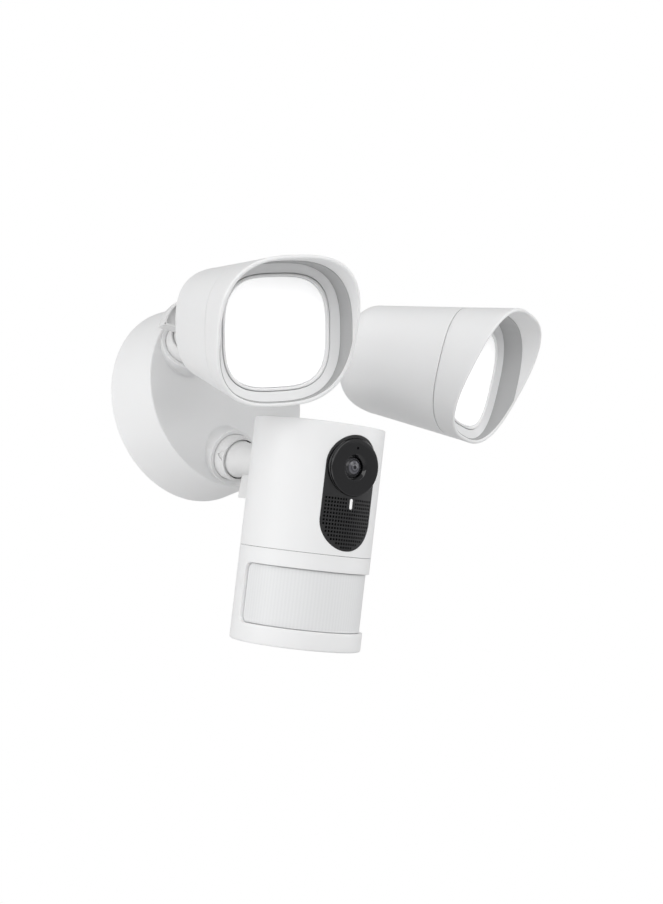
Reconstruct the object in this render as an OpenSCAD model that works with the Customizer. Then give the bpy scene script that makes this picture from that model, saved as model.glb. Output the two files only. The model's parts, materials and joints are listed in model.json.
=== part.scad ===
// Wall-mounted security camera with two floodlight heads.
// The row origin is the centre of the base's back, on the wall. The object
// stands out from the wall towards -Y, with +Z up and +X to the viewer's right.

/* [Base] */
// Radius of the base where it meets the wall
base_back_r = 64; // [60:0.5:70]
// Radius of the base at its front face
base_front_r = 61.2; // [57:0.1:62]
// Depth of the base from the wall to its front face
base_depth = 38.3; // [34:0.1:46]
// Wall thickness of the base housing
base_wall = 2.6; // [2:0.1:3]
// Hole spacing of a round ceiling or wall junction box
box_spacing = 88.9; // [83:0.1:95]

/* [Ball joints] */
// Distance of each socket from the base centre
socket_ring_r = 43.9; // [42:0.1:46]
// Height of each socket's rim above the wall
socket_rim_h = 45.4; // [44:0.1:48]
// Outward lean of each socket
socket_lean = 22.7; // [18:0.1:25]
// Outer radius of the socket boss
boss_r = 17.2; // [16.5:0.1:18]
// Radius of the ball
ball_r = 12.2; // [11.8:0.1:12.3]
// Radius of the neck behind the ball
neck_r = 10; // [8:0.1:10.2]

/* [Light heads] */
// Half width of a light head near its rear
head_rear_half = 33.7; // [30:0.1:36]
// Half width of a light head at its parting line
head_front_half = 39.7; // [37:0.1:41]
// Radius that rounds the rear of a light head
head_rear_round = 19.3; // [16:0.1:21]
// Distance from the rear of a light head to its parting line
head_part_z = 75.9; // [72:0.1:80]
// Distance from the rear to the lowest point of the hood's rim
hood_low_z = 87.6; // [86:0.1:90]
// Distance from the rear to the highest point of the hood's rim
hood_high_z = 111.4; // [100:0.1:116]
// Half width of the diffuser lens
lens_half = 30.4; // [28:0.1:31]
// Distance from the ball to the rear of a light head
light_stem = 49; // [46:0.1:54]
// Angle between a light's stem and its head
light_bend = 17.5; // [12:0.1:20]

/* [Camera module] */
// Radius of the camera module
mod_r = 38.4; // [37:0.1:40]
// Height of the camera module
mod_h = 129.6; // [126:0.1:134]
// Height of the parting line of the camera module
mod_part_h = 54.6; // [53.5:0.1:56]
// Distance from the ball to the axis of the camera module
mod_reach = 84.9; // [83:0.1:88]
// Height of the stem above the bottom of the camera module
mod_stem_h = 106; // [102:0.1:108]
// Height of the lens above the bottom of the camera module
camera_lens_h = 105.5; // [104:0.1:106]
// Radius of the flat glossy disc around the lens
disc_r = 16.4; // [15.5:0.1:16.8]

/* [Pose] */
// Swivel, tilt and roll of the left light
left_pose = [10.5, 15.7, -1.2];
// Swivel, tilt and roll of the right light
right_pose = [19.7, 10.1, -13.8];
// Swivel, tilt and roll of the camera module
camera_pose = [26.3, -9.5, -22];

/* [Hidden] */

$fn = 96;
EPS = 0.01;
GAP = 0.15;              // between pieces of one body
RUN = 0.05;              // radial running clearance of a turning pin
SOCKET_CLEAR = 0.3;      // between a ball and its seat
PART_GAP = 0.5;          // height of a visible parting groove

// Polar place of each socket on the base, counted from +X towards +Z
LEFT = 150;
RIGHT = 30;
CAMERA = 270;

// Socket collar, measured from the rim of the socket boss
collar_r = 14.4;
collar_low = -8;
collar_edge = 2.5;
mouth_h = 8.3;
mouth_r = 11.9;
mouth_rim_w = 1;
ball_h = 4.5;
seat_r = ball_r + SOCKET_CLEAR;
boss_depth = 16;
pocket_w = 7;
pocket_out = 3.4;

// Stem end that turns in the head
pin_r = 5;
pin_bore_r = pin_r + RUN;
cable_bore_r = 3.2;
wing_r = 24.5;           // reach of the grip on the neck
wing_z = 9;              // distance from the ball centre to the grip
wing_l = 10;
wing_half_a = 27;
wing_wall = 1.6;
wing_end_a = 5;          // angle that each end wall takes up
LEFT_WING = 137;         // place of each grip round its stem
RIGHT_WING = 28;
CAMERA_WING = 292;
head_boss_r = 12.5;
head_boss_back = 7;
head_boss_in = 8;
nut_r = 8;
nut_h = 4;
stem_boss_r = 12;        // inside the camera module, behind its rear wall
stem_boss_l = 5.9;
stem_boss_out = 2.1;     // keeps the boss inside the casing's outer face

// Base interior
dome_rise = 1.2;
edge_round = 1.2;
gasket_h = 3;
gasket_w = 4;
plate_z = 6;
plate_t = 2;
bracket_w = 24;
bracket_t = 2;
bracket_l = 108;
slot_r = 2.4;
slot_l = 12;
board_t = 1.6;
base_board_z = 16;
plate_screw_ring = 50;
plate_screw_a = 15;
bolt_up = 16;
bolt_r = 2.5;
bolt_head_r = 4.6;

// Light head interior
head_n = 2.76;           // superellipse exponent of the head's section
lens_n = 3.16;           // superellipse exponent of the lens
head_seg = 48;
head_wall = 2.4;
taper = (head_front_half - head_rear_half) / (head_part_z - head_rear_round);
tongue_l = 3;
hood_wall = 2.2;
lens_front_z = 83.2;
lens_t = 2.6;
led_board_z = 66;
led_board_half = 29;
post_at = 21.5;
post_r = 3.2;
led_pitch = 11;

// Camera module
mod_wall = 2.4;
window_low = 10.9;
window_high = 45.2;
window_half_a = 95;
window_corner = 4.5;
window_outer_r = mod_r - mod_wall - GAP;
window_t = 2;
inlay_half_w = 17.3;
inlay_low = 57.6;
inlay_high = 123.9;
inlay_t = 2;
inlay_proud = 0.25;
disc_front = 39.2;
disc_back = 32.5;
camera_stem = mod_reach - mod_r;
grille_rows = 14;
grille_cols = 19;
grille_pitch_x = 1.7;
grille_pitch_z = 2.1;
grille_hole = [1, 1.2];
grille_low = 59.6;
grille_margin = 1.6;
grille_disc_gap = 2.1;
grille_light_w = 2;
grille_light_l = 8.4;
column_ring = 27;
column_r = 3.6;
column_angles = [28, 152, 208, 332];
button_r = 4;
button_at = 14;
button_travel = 1;

// ---------- placing ----------

// Puts (right, up, out of the wall) on the row's axes
module on_wall() {
    rotate([90, 0, 0])
        children();
}

// Socket axis is the local Z, and the boss rim is the local zero
module at_socket(a) {
    on_wall()
        translate([socket_ring_r * cos(a), socket_ring_r * sin(a), socket_rim_h])
            rotate([0, 0, a])
                rotate([0, socket_lean, 0])
                    rotate([0, 0, -a])
                        children();
}

// Ball centre is the local zero, and the stem runs along the local Z
module at_ball(a, pose) {
    at_socket(a)
        translate([0, 0, ball_h])
            rotate([0, 0, pose[0]])
                rotate([pose[1], 0, 0])
                    rotate([0, 0, pose[2]])
                        children();
}

// Rear centre of a light head is the local zero, and the head faces local Z
module at_light(a, pose) {
    at_ball(a, pose)
        translate([0, 0, light_stem])
            rotate([light_bend, 0, 0])
                children();
}

// Bottom centre of the camera module is the local zero, and it faces local -Y
module at_module() {
    at_ball(CAMERA, camera_pose)
        translate([0, -mod_stem_h, mod_reach])
            rotate([-90, 0, 0])
                children();
}

// ---------- shared shapes ----------

// Point of a superellipse of half width 1 in direction t
function se(t, n) =
    let (r = pow(pow(abs(cos(t)), n) + pow(abs(sin(t)), n), -1 / n))
    [r * cos(t), r * sin(t)];

function se_outline(half, n) =
    [for (i = [0 : head_seg - 1]) half * se(360 * i / head_seg, n)];

// Ring of a head: z rises by slant from the bottom to the top of the section
function se_ring(half, z, n = head_n, slant = 0) =
    [for (i = [0 : head_seg - 1])
        let (p = se(360 * i / head_seg, n))
        [half * p[0], half * p[1], z + slant * (p[1] + 1) / 2]];

function head_half(z) = head_front_half + taper * (z - head_part_z);

// Half width of the rounded rear, drawn in by an inset
function rear_half(t, inset) =
    head_rear_half - head_rear_round + (head_rear_round - inset) * sin(t);
function rear_z(t, inset) =
    head_rear_round - (head_rear_round - inset) * cos(t);

function ring_faces(a, b) =
    [for (i = [0 : head_seg - 1])
        let (j = (i + 1) % head_seg)
        [a * head_seg + i, b * head_seg + i, b * head_seg + j, a * head_seg + j]];

// Closed cup through a list of rings, capped at both ends
module loft_cup(rings) {
    last = len(rings) - 1;
    points = [for (r = rings) each r];
    sides = [for (k = [0 : last - 1]) each ring_faces(k, k + 1)];
    first_cap = [for (i = [0 : head_seg - 1]) i];
    last_cap = [for (i = [head_seg - 1 : -1 : 0]) last * head_seg + i];
    polyhedron(points, concat([first_cap, last_cap], sides));
}

// Closed tube through a list of rings that returns to its start
module loft_tube(rings) {
    count = len(rings);
    points = [for (r = rings) each r];
    polyhedron(points, [for (k = [0 : count - 1]) each ring_faces(k, (k + 1) % count)]);
}

module se_plate(half, n, z, t) {
    translate([0, 0, z])
        linear_extrude(t)
            polygon(se_outline(half, n));
}

// Screw with a pan head on top of local zero, pointing down local Z
module screw(shaft_r, shaft_l, head_r, head_h) {
    difference() {
        union() {
            cylinder(r = head_r, h = head_h);
            translate([0, 0, -shaft_l])
                cylinder(r = shaft_r, h = shaft_l + EPS);
        }
        for (q = [0, 90])
            rotate([0, 0, q])
                translate([-head_r * 0.6, -head_r * 0.12, head_h * 0.45])
                    cube([head_r * 1.2, head_r * 0.24, head_h]);
    }
}

// ---------- ball joints ----------

function arc_points(r, cz, from, to, steps) =
    [for (i = [0 : steps])
        let (t = from + (to - from) * i / steps)
        [r * cos(t), cz + r * sin(t)]];

module socket_collar(a, pocket_a) {
    low_t = -asin((ball_h - collar_low - 3) / seat_r);
    high_t = asin((mouth_h - ball_h) / seat_r);
    seat = arc_points(seat_r, ball_h, low_t, high_t, 14);
    color([0.9, 0.9, 0.9])
        at_socket(a)
            difference() {
                rotate_extrude()
                    polygon(concat(
                        [[seat[0][0], collar_low], [collar_r, collar_low], [collar_r, collar_edge]],
                        [[mouth_r + mouth_rim_w, mouth_h]],
                        [for (i = [len(seat) - 1 : -1 : 0]) seat[i]]));
                rotate([0, 0, pocket_a])
                    translate([mouth_r + mouth_rim_w, 0, collar_edge - 1])
                        linear_extrude(mouth_h)
                            polygon([[0, -pocket_w / 2], [pocket_out, 0], [0, pocket_w / 2]]);
            }
}

module ball_stem(a, pose, reach, wing_a) {
    neck_end = reach - head_boss_back - GAP;
    pin_end = reach + head_boss_in + nut_h + 1;
    color([0.9, 0.9, 0.9])
        at_ball(a, pose)
            difference() {
                union() {
                    sphere(r = ball_r);
                    cylinder(r = neck_r, h = neck_end);
                    cylinder(r = pin_r, h = pin_end);
                    stem_wing(wing_a);
                }
                translate([0, 0, -ball_r - 1])
                    cylinder(r = cable_bore_r, h = pin_end + ball_r + 2);
            }
}

// Grip on one side of the neck, open towards the head
module stem_wing(wing_a) {
    inner_half_a = wing_half_a - wing_end_a;
    difference() {
        neck_sector(wing_a, wing_half_a, wing_z, wing_z + wing_l, neck_r - 0.5, wing_r);
        neck_sector(wing_a, inner_half_a, wing_z + wing_wall, wing_z + wing_l + 1, neck_r + wing_wall,
            wing_r - wing_wall);
    }
}

module neck_sector(mid_a, half_a, low, high, r_in, r_out) {
    rotate([0, 0, mid_a - half_a])
        rotate_extrude(angle = 2 * half_a)
            translate([r_in, low])
                square([r_out - r_in, high - low]);
}

module stem_nut(a, pose, reach) {
    color("silver")
        at_ball(a, pose)
            translate([0, 0, reach + head_boss_in + SOCKET_CLEAR])
                difference() {
                    cylinder(r = nut_r, h = nut_h, $fn = 6);
                    translate([0, 0, -1])
                        cylinder(r = pin_r + EPS, h = nut_h + 2);
                }
}

// ---------- base ----------

module base_profile() {
    round_x = base_front_r - edge_round;
    round_z = base_depth - edge_round;
    dome_r = (pow(round_x, 2) + pow(dome_rise, 2)) / (2 * dome_rise);
    inner_x = base_front_r - base_wall;
    polygon(concat(
        [[base_back_r, 0], [base_back_r - 0.1, 1]],
        [for (t = [0 : 15 : 90]) [round_x + edge_round * cos(t), round_z + edge_round * sin(t)]],
        [for (k = [0.75, 0.5, 0.25, 0])
            [round_x * k, base_depth + sqrt(pow(dome_r, 2) - pow(round_x * k, 2)) - dome_r + dome_rise]],
        [[0, base_depth - base_wall], [inner_x - edge_round, base_depth - base_wall],
         [inner_x, base_depth - base_wall - edge_round], [base_back_r - base_wall, 0]]));
}

module base_socket_tube(a, r, low, high) {
    translate([socket_ring_r * cos(a), socket_ring_r * sin(a), socket_rim_h])
        rotate([0, 0, a])
            rotate([0, socket_lean, 0])
                translate([0, 0, low])
                    cylinder(r = r, h = high - low);
}

module plate_screw_places(z) {
    for (q = [0 : 3])
        rotate([0, 0, plate_screw_a + 60 + 90 * q])
            translate([plate_screw_ring, 0, z])
                children();
}

module base_housing() {
    color([0.95, 0.95, 0.95])
        on_wall()
            difference() {
                union() {
                    rotate_extrude()
                        base_profile();
                    for (a = [LEFT, RIGHT, CAMERA])
                        base_socket_tube(a, boss_r, -boss_depth, 0);
                    plate_screw_places(plate_z + plate_t + GAP)
                        cylinder(r = 3.4, h = base_depth - plate_z - plate_t - base_wall);
                    translate([0, bolt_up, plate_z + plate_t + GAP])
                        cylinder(r = bolt_head_r + 2.4, h = base_depth - plate_z - plate_t - 1);
                }
                for (a = [LEFT, RIGHT, CAMERA])
                    base_socket_tube(a, collar_r + RUN, -boss_depth - 1, 1);
                translate([0, bolt_up, 0])
                    cylinder(r = bolt_r + 0.3, h = base_depth + 5);
                translate([0, bolt_up, base_depth - 8])
                    cylinder(r = bolt_head_r + 0.4, h = 12);
                plate_screw_places(0)
                    cylinder(r = 1.5 + EPS, h = 20);
            }
}

module back_plate() {
    color([0.8, 0.8, 0.8])
        on_wall()
            difference() {
                translate([0, 0, plate_z])
                    cylinder(r = base_back_r - base_wall - 1.2, h = plate_t);
                plate_screw_places(0)
                    cylinder(r = 1.7, h = 20);
                translate([0, bolt_up, 0])
                    cylinder(r = bolt_r + 0.3, h = 20);
                translate([0, -bolt_up, 0])
                    cylinder(r = 9, h = 20);
            }
}

module wall_bracket() {
    color([0.7, 0.7, 0.72])
        on_wall()
            difference() {
                union() {
                    translate([-bracket_l / 2, -bracket_w / 2 + 4, 0])
                        cube([bracket_l, bracket_w, bracket_t]);
                    translate([0, bolt_up, bracket_t - EPS])
                        cylinder(r = 4.5, h = 3);
                }
                for (s = [-1, 1])
                    translate([s * box_spacing / 2, 0, -1])
                        linear_extrude(bracket_t + 2)
                            union() {
                                square([slot_l - 2 * slot_r, 2 * slot_r], center = true);
                                for (e = [-1, 1])
                                    translate([e * (slot_l / 2 - slot_r), 0])
                                        circle(r = slot_r);
                            }
                translate([0, bolt_up, -1])
                    cylinder(r = bolt_r + EPS, h = 8);
            }
}

module wall_gasket() {
    outer = base_back_r - base_wall - GAP * 2;
    color([0.25, 0.25, 0.25])
        on_wall()
            difference() {
                cylinder(r = outer, h = gasket_h);
                translate([0, 0, -1])
                    cylinder(r = outer - gasket_w, h = gasket_h + 2);
            }
}

module back_plate_screws() {
    color("silver")
        on_wall()
            plate_screw_places(plate_z)
                mirror([0, 0, 1])
                    screw(1.5, 12, 3, 1.8);
}

module driver_board() {
    color([0.1, 0.4, 0.2])
        on_wall()
            difference() {
                translate([-24, -22, base_board_z])
                    cube([48, 30, board_t]);
                for (s = [-1, 1])
                    translate([s * 20, 4, base_board_z - 1])
                        cylinder(r = 1.6, h = 4);
            }
}

module transformer() {
    color([0.75, 0.6, 0.2])
        on_wall() {
            translate([-19, -16, base_board_z + board_t])
                cube([16, 20, 4]);
            translate([-17, -14, base_board_z + board_t + 4])
                cube([12, 16, 6]);
        }
}

module capacitors() {
    color([0.2, 0.2, 0.3])
        on_wall()
            for (p = [[3, -2], [14, -2], [3, -13]])
                translate([p[0], p[1], base_board_z + board_t])
                    cylinder(r = 4, h = 10);
}

module terminal_block() {
    color([0.9, 0.9, 0.85])
        on_wall()
            difference() {
                translate([-26, -40, plate_z + plate_t])
                    cube([17, 11, 8]);
                for (k = [0 : 2])
                    translate([-26 + 3.5 + 5 * k, -34.5, plate_z + plate_t + 3])
                        cylinder(r = 1.6, h = 10);
            }
}

module fixing_bolt() {
    color("silver")
        on_wall()
            translate([0, bolt_up, base_depth - 8])
                screw(bolt_r, base_depth - 8 - bracket_t - 1.5, bolt_head_r, 3);
}

module fixing_bolt_cap() {
    color([0.95, 0.95, 0.95])
        on_wall()
            translate([0, bolt_up, base_depth - 4.5])
                cylinder(r = bolt_head_r + 0.35, h = 5.8);
}

// ---------- light heads ----------

module rear_housing(a, pose) {
    z_end = head_part_z - PART_GAP / 2;
    outer = concat(
        [for (t = [0 : 15 : 90]) se_ring(rear_half(t, 0), rear_z(t, 0))],
        [se_ring(head_half(z_end), z_end)]);
    tongue_half = head_half(z_end) - hood_wall - GAP;
    tongue = [se_ring(tongue_half, z_end), se_ring(tongue_half, z_end + tongue_l),
        se_ring(tongue_half - 1.4, z_end + tongue_l)];
    inner = concat(
        [se_ring(head_half(z_end) - head_wall - 1.6, z_end - 1)],
        [for (t = [90 : -15 : 0]) se_ring(rear_half(t, head_wall), rear_z(t, head_wall))]);
    color([0.95, 0.95, 0.95])
        difference() {
            union() {
                at_light(a, pose) {
                    loft_cup(concat(outer, tongue, inner));
                    for (x = [-1, 1], y = [-1, 1])
                        translate([x * post_at, y * post_at, 10])
                            cylinder(r = post_r, h = led_board_z - 4 - 10 - GAP);
                }
                at_ball(a, pose)
                    translate([0, 0, light_stem - head_boss_back])
                        cylinder(r = head_boss_r, h = head_boss_back + head_boss_in);
            }
            at_ball(a, pose)
                cylinder(r = pin_bore_r, h = light_stem + head_boss_in + 5);
        }
}

module front_hood(a, pose) {
    z0 = head_part_z + PART_GAP / 2;
    slant = hood_high_z - hood_low_z;
    flare = taper * slant;
    rim_half = head_half(hood_low_z);
    mid_half = (head_half(z0) + rim_half) / 2;
    rings = [
        se_ring(head_half(z0), z0),
        [for (i = [0 : head_seg - 1])
            let (p = se(360 * i / head_seg, head_n))
            let (k = rim_half + flare * (p[1] + 1) / 2)
            [k * p[0], k * p[1], hood_low_z - 0.6 + slant * (p[1] + 1) / 2]],
        [for (i = [0 : head_seg - 1])
            let (p = se(360 * i / head_seg, head_n))
            let (k = rim_half - 0.6 + flare * (p[1] + 1) / 2)
            [k * p[0], k * p[1], hood_low_z + slant * (p[1] + 1) / 2]],
        [for (i = [0 : head_seg - 1])
            let (p = se(360 * i / head_seg, head_n))
            let (k = rim_half - hood_wall + flare * (p[1] + 1) / 2)
            [k * p[0], k * p[1], hood_low_z - 0.3 + slant * (p[1] + 1) / 2]],
        se_ring(head_half(z0) - hood_wall + 0.4, z0 + 4),
        se_ring(head_half(z0) - hood_wall, z0)
    ];
    color([0.95, 0.95, 0.95])
        at_light(a, pose)
            loft_tube(rings);
}

module bezel(a, pose) {
    fit_half = head_half(head_part_z) - hood_wall - 2 * GAP;
    frame_out = lens_half + 1.8;
    rings = [
        se_ring(lens_half + GAP, lens_front_z + 0.6, lens_n),
        se_ring(lens_half + GAP, lens_front_z - lens_t, lens_n),
        se_ring(lens_half - 2.4, lens_front_z - lens_t - GAP * 9, lens_n),
        se_ring(fit_half, lens_front_z - lens_t - GAP * 9),
        se_ring(fit_half, lens_front_z + 2.2),
        se_ring(frame_out + 0.2, lens_front_z + 0.2, lens_n),
        se_ring(frame_out - 0.2, lens_front_z + 1, lens_n)
    ];
    color([0.8, 0.8, 0.8])
        at_light(a, pose)
            loft_tube([for (i = [len(rings) - 1 : -1 : 0]) rings[i]]);
}

module diffuser_lens(a, pose) {
    color([1, 1, 1])
        at_light(a, pose)
            se_plate(lens_half, lens_n, lens_front_z - lens_t + GAP, lens_t - GAP);
}

module lens_gasket(a, pose) {
    low = lens_front_z - lens_t - GAP * 9 - 1.4;
    color([0.3, 0.3, 0.3])
        at_light(a, pose)
            difference() {
                se_plate(lens_half + 3, head_n, low, 1.2);
                se_plate(lens_half - 2, head_n, low - 1, 3.2);
            }
}

module led_board(a, pose) {
    color([0.92, 0.92, 0.88])
        at_light(a, pose)
            difference() {
                se_plate(led_board_half, head_n, led_board_z, board_t);
                for (x = [-1, 1], y = [-1, 1])
                    translate([x * post_at, y * post_at, led_board_z - 1])
                        cylinder(r = 1.6, h = 4);
            }
}

module leds(a, pose) {
    color([1, 0.9, 0.4])
        at_light(a, pose)
            for (i = [-2 : 2], j = [-2 : 2])
                if (abs(i) + abs(j) < 4)
                    translate([i * led_pitch - 1.75, j * led_pitch - 1.4, led_board_z + board_t])
                        cube([3.5, 2.8, 0.9]);
}

module heat_sink(a, pose) {
    color([0.7, 0.7, 0.72])
        at_light(a, pose)
            difference() {
                union() {
                    se_plate(led_board_half, head_n, led_board_z - 4, 4 - GAP / 3);
                    for (i = [-3 : 3])
                        translate([i * 5.6 - 0.9, -17, led_board_z - 24])
                            cube([1.8, 34, 21]);
                }
                for (x = [-1, 1], y = [-1, 1])
                    translate([x * post_at, y * post_at, led_board_z - 5])
                        cylinder(r = 1.6, h = 8);
            }
}

module board_screws(a, pose) {
    color("silver")
        at_light(a, pose)
            for (x = [-1, 1], y = [-1, 1])
                translate([x * post_at, y * post_at, led_board_z + board_t + EPS])
                    screw(1.5, 5.4, 2.8, 1.8);
}

// ---------- camera module ----------

module radial(a) {
    rotate([0, 0, a - 90])
        children();
}

// Ring sector centred on the module's front
module front_sector(half_a, low, high, r_in, r_out) {
    rotate([0, 0, -90 - half_a])
        rotate_extrude(angle = 2 * half_a)
            translate([r_in, low])
                square([r_out - r_in, high - low]);
}

module window_cut() {
    corner_a = window_corner / mod_r * 180 / PI;
    front_sector(window_half_a - corner_a, window_low, window_high, 30, 42);
    front_sector(window_half_a, window_low + window_corner, window_high - window_corner, 30, 42);
    for (s = [-1, 1], z = [window_low + window_corner, window_high - window_corner])
        radial(s * (window_half_a - corner_a))
            translate([30, 0, z])
                rotate([0, 90, 0])
                    cylinder(r = window_corner, h = 12);
}

module column_places() {
    for (q = column_angles)
        rotate([0, 0, q])
            translate([column_ring, 0, 0])
                children();
}

module lower_housing() {
    top = mod_part_h - PART_GAP / 2;
    color([0.95, 0.95, 0.95])
        at_module()
            difference() {
                union() {
                    rotate_extrude()
                        polygon(concat(
                            [[0, 0]],
                            [for (t = [-90 : 15 : 0])
                                [mod_r - edge_round + edge_round * cos(t),
                                 edge_round + edge_round * sin(t)]],
                            [[mod_r, top], [mod_r - mod_wall, top], [mod_r - mod_wall, mod_wall],
                             [0, mod_wall]]));
                    column_places()
                        cylinder(r = column_r, h = top - GAP);
                }
                window_cut();
                column_places() {
                    translate([0, 0, -1])
                        cylinder(r = 1.6, h = top + 2);
                    translate([0, 0, -1])
                        cylinder(r = 2.8, h = top - 5);
                }
                translate([0, button_at, -1])
                    cylinder(r = button_r + 0.3, h = mod_wall + 2);
            }
}

module inlay_outline(grow) {
    r = inlay_half_w + grow;
    low = inlay_low + inlay_half_w;
    high = inlay_high - inlay_half_w;
    for (z = [low, high])
        translate([0, z])
            circle(r = r);
    translate([-r, low])
        square([2 * r, high - low]);
}

// Prism of a front-view outline (x, height), reaching the front of the module
module front_prism(near, far) {
    translate([0, -near, 0])
        rotate([90, 0, 0])
            linear_extrude(far - near)
                children();
}

module upper_housing() {
    low = mod_part_h + PART_GAP / 2;
    top_round = 0.9;
    color([0.95, 0.95, 0.95])
        at_module()
            difference() {
                union() {
                    rotate_extrude()
                        polygon(concat(
                            [[mod_r - mod_wall, low], [mod_r, low]],
                            [for (t = [0 : 18 : 90])
                                [mod_r - top_round + top_round * cos(t),
                                 mod_h - top_round + top_round * sin(t)]],
                            [[0, mod_h], [0, mod_h - mod_wall], [mod_r - mod_wall, mod_h - mod_wall]]));
                    column_places() {
                        translate([0, 0, low + GAP])
                            cylinder(r = column_r, h = 14);
                        translate([0, -1, low + 3])
                            cube([mod_r - column_ring - 1, 2, 10]);
                    }
                    translate([0, 0, mod_stem_h])
                        rotate([-90, 0, 0])
                            translate([0, 0, mod_r - stem_boss_out - stem_boss_l])
                                cylinder(r = stem_boss_r, h = stem_boss_l);
                }
                front_prism(10, 60)
                    inlay_outline(GAP);
                column_places()
                    cylinder(r = 1.5, h = low + 12);
                translate([0, 10, mod_stem_h])
                    rotate([-90, 0, 0])
                        cylinder(r = pin_bore_r, h = 60);
            }
}

module housing_seal() {
    color([0.3, 0.3, 0.3])
        at_module()
            translate([0, 0, mod_part_h - 1.2])
                difference() {
                    cylinder(r = mod_r - mod_wall - GAP, h = 2.4);
                    translate([0, 0, -1])
                        cylinder(r = mod_r - mod_wall - 2.4, h = 5);
                }
}

module housing_screws() {
    color("silver")
        at_module()
            column_places()
                translate([0, 0, mod_part_h - PART_GAP / 2 - 6.2])
                    mirror([0, 0, 1])
                        screw(1.5, 13, 2.7, 2);
}

module pir_window() {
    color([0.85, 0.85, 0.86])
        at_module()
            front_sector(window_half_a + 4, window_low - 3, window_high + 3,
                window_outer_r - window_t, window_outer_r);
}

module pir_sensors() {
    color([0.75, 0.75, 0.75])
        at_module()
            for (q = [-60, 0, 60])
                radial(q)
                    translate([13 + GAP, 0, 27])
                        rotate([0, 90, 0]) {
                            cylinder(r = 4.6, h = 4);
                            cylinder(r = 3.2, h = 4.6);
                        }
}

module pir_board() {
    color([0.1, 0.4, 0.2])
        at_module()
            translate([0, 0, 18])
                difference() {
                    cylinder(r = 13 * 2 / sqrt(3), h = 20, $fn = 6);
                    translate([0, 0, -1])
                        cylinder(r = 11 * 2 / sqrt(3), h = 22, $fn = 6);
                    translate([-20, 4, -1])
                        cube([40, 20, 22]);
                }
}

module face_inlay() {
    color([0.06, 0.06, 0.07])
        at_module()
            difference() {
                intersection() {
                    front_prism(10, 60)
                        inlay_outline(0);
                    difference() {
                        cylinder(r = mod_r + inlay_proud, h = mod_h);
                        translate([0, 0, -1])
                            cylinder(r = mod_r + inlay_proud - inlay_t, h = mod_h + 2);
                    }
                }
                translate([0, 0, camera_lens_h])
                    rotate([90, 0, 0])
                        cylinder(r = disc_r + GAP, h = 60);
                status_prism(GAP / 2);
                front_prism(20, 60)
                    grille_outline();
            }
}

module grille_outline() {
    for (i = [0 : grille_cols - 1], j = [0 : grille_rows - 1]) {
        x = (i - (grille_cols - 1) / 2) * grille_pitch_x;
        z = grille_low + j * grille_pitch_z;
        reach = inlay_half_w - grille_margin;
        drop = max(0, inlay_low + inlay_half_w - z);
        off_disc = norm([x, z - camera_lens_h]) > disc_r + grille_disc_gap;
        off_light = abs(x) > grille_light_w || z < camera_lens_h - disc_r - grille_light_l;
        if (norm([x, drop]) < reach && off_disc && off_light)
            translate([x, z])
                square(grille_hole, center = true);
    }
}

module status_prism(grow) {
    top = camera_lens_h - disc_r - 1.6;
    front_prism(33, mod_r + inlay_proud + grow)
        translate([-0.9 - grow, top - 6 - grow])
            square([1.8 + 2 * grow, 6 + 2 * grow]);
}

module status_light() {
    color([1, 1, 1])
        at_module()
            status_prism(0);
}

module lens_disc() {
    color([0.03, 0.03, 0.03])
        at_module()
            translate([0, 0, camera_lens_h])
                rotate([90, 0, 0])
                    difference() {
                        rotate_extrude()
                            polygon([[8.2, disc_back], [disc_r, disc_back], [disc_r, disc_front - 2.4],
                                [disc_r - 0.5, disc_front - 2.1], [disc_r - 0.5, disc_front - 1.5],
                                [disc_r, disc_front - 1.2], [disc_r, disc_front - 0.5],
                                [disc_r - 0.5, disc_front], [7.4, disc_front], [6.2, disc_front - 1.4],
                                [6.2, disc_front - 2.4], [8.2, disc_front - 2.4]]);
                        translate([0, disc_r - 5.4, disc_back - 1])
                            cylinder(r = 0.8, h = 20);
                    }
}

module lens_glass() {
    dome_r = 8;
    edge_r = 5.6;
    color([0.2, 0.2, 0.25])
        at_module()
            translate([0, 0, camera_lens_h])
                rotate([90, 0, 0])
                    rotate_extrude()
                        polygon(concat(
                            [[0, disc_front - 4.4], [edge_r, disc_front - 4.4]],
                            [for (k = [1, 0.8, 0.6, 0.4, 0.2, 0])
                                [edge_r * k, disc_front - 4.4 + sqrt(pow(dome_r, 2) - pow(edge_r * k, 2))
                                    - sqrt(pow(dome_r, 2) - pow(edge_r, 2)) + 1.4]]));
}

module lens_barrel() {
    color([0.1, 0.1, 0.1])
        at_module()
            translate([0, 0, camera_lens_h])
                rotate([90, 0, 0])
                    difference() {
                        union() {
                            translate([0, 0, 20])
                                cylinder(r = 7.8, h = disc_front - 4.5 - 20);
                            translate([0, 0, 20])
                                cylinder(r = 9.5, h = 3);
                        }
                        translate([0, 0, 25])
                            cylinder(r = 4.6, h = 20);
                    }
}

module image_sensor_board() {
    color([0.1, 0.4, 0.2])
        at_module() {
            translate([-13, -19.9, camera_lens_h - 13])
                cube([26, board_t, 26]);
        }
}

module main_board() {
    color([0.1, 0.4, 0.2])
        at_module() {
            translate([-26, -8, 62])
                cube([52, board_t, 60]);
            translate([-8, -8 - 3, 98])
                cube([18, 3 + EPS, 18]);
        }
}

module speaker() {
    color([0.2, 0.2, 0.2])
        at_module()
            translate([0, 0, 73])
                rotate([90, 0, 0]) {
                    translate([0, 0, 22])
                        cylinder(r = 8, h = 5);
                    translate([0, 0, 27 - EPS])
                        cylinder(r1 = 10, r2 = 12.4, h = 3.2);
                }
}

module wifi_antenna() {
    color([0.8, 0.6, 0.3])
        at_module()
            translate([20, 10, 88])
                cube([1, 12, 34]);
}

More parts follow.
